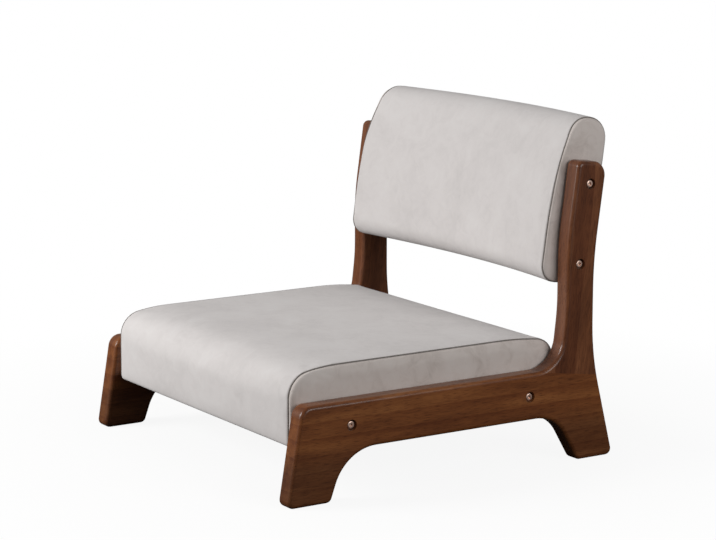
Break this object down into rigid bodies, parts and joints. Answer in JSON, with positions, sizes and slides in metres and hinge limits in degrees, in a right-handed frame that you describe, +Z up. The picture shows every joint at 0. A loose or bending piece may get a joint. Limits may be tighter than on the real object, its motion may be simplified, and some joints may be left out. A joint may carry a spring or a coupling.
{
  "type": "floor chair",
  "caption": "Low floor chair: walnut side frames with raked posts carry a padded seat and a gently curved padded back, held by recessed bolts.",
  "frame": {"origin": "on the floor, under the middle of the chair's outer box", "axes": "+Z up, the sitter faces -Y, +X to the right as seen from the front; the chair mirrors in X"},
  "size_m": [0.49, 0.5086, 0.4291],
  "materials": {
    "walnut": "satin lacquer",
    "beech": "plain dowel",
    "softwood": "sawn",
    "plywood": "sanded",
    "cloth": "matt, soft nap",
    "piping": "matt",
    "lining": "matt",
    "foam": "open-cell foam",
    "bolt_steel": "pale copper-nickel plate",
    "washer_steel": "plated",
    "screw_steel": "yellow zinc",
    "brass": "turned"
  },
  "bodies": {
    "root": {"left_base_board": "walnut", "right_base_board": "walnut", "left_post": "walnut", "right_post": "walnut", "left_post_dowels": "beech", "right_post_dowels": "beech", "left_seat_side_rail": "softwood", "right_seat_side_rail": "softwood", "seat_front_rail": "softwood", "seat_rear_rail": "softwood", "seat_center_rail": "softwood", "seat_deck": "plywood", "seat_deck_screws": "screw_steel", "seat_frame_screws": "screw_steel", "seat_foam": "foam", "seat_cover": "cloth", "left_seat_gusset": "cloth", "right_seat_gusset": "cloth", "left_seat_piping": "piping", "right_seat_piping": "piping", "seat_dust_cover": "lining", "left_back_stile": "softwood", "right_back_stile": "softwood", "back_bottom_rail": "softwood", "back_top_rail": "softwood", "back_front_panel": "plywood", "back_rear_panel": "plywood", "back_front_foam": "foam", "back_rear_foam": "foam", "back_cover": "cloth", "left_back_gusset": "cloth", "right_back_gusset": "cloth", "left_back_piping": "piping", "right_back_piping": "piping", "seat_bolts": "bolt_steel", "seat_bolt_washers": "washer_steel", "seat_inserts": "brass", "back_bolts": "bolt_steel", "back_bolt_washers": "washer_steel", "back_inserts": "brass"}
  },
  "joints": []
}
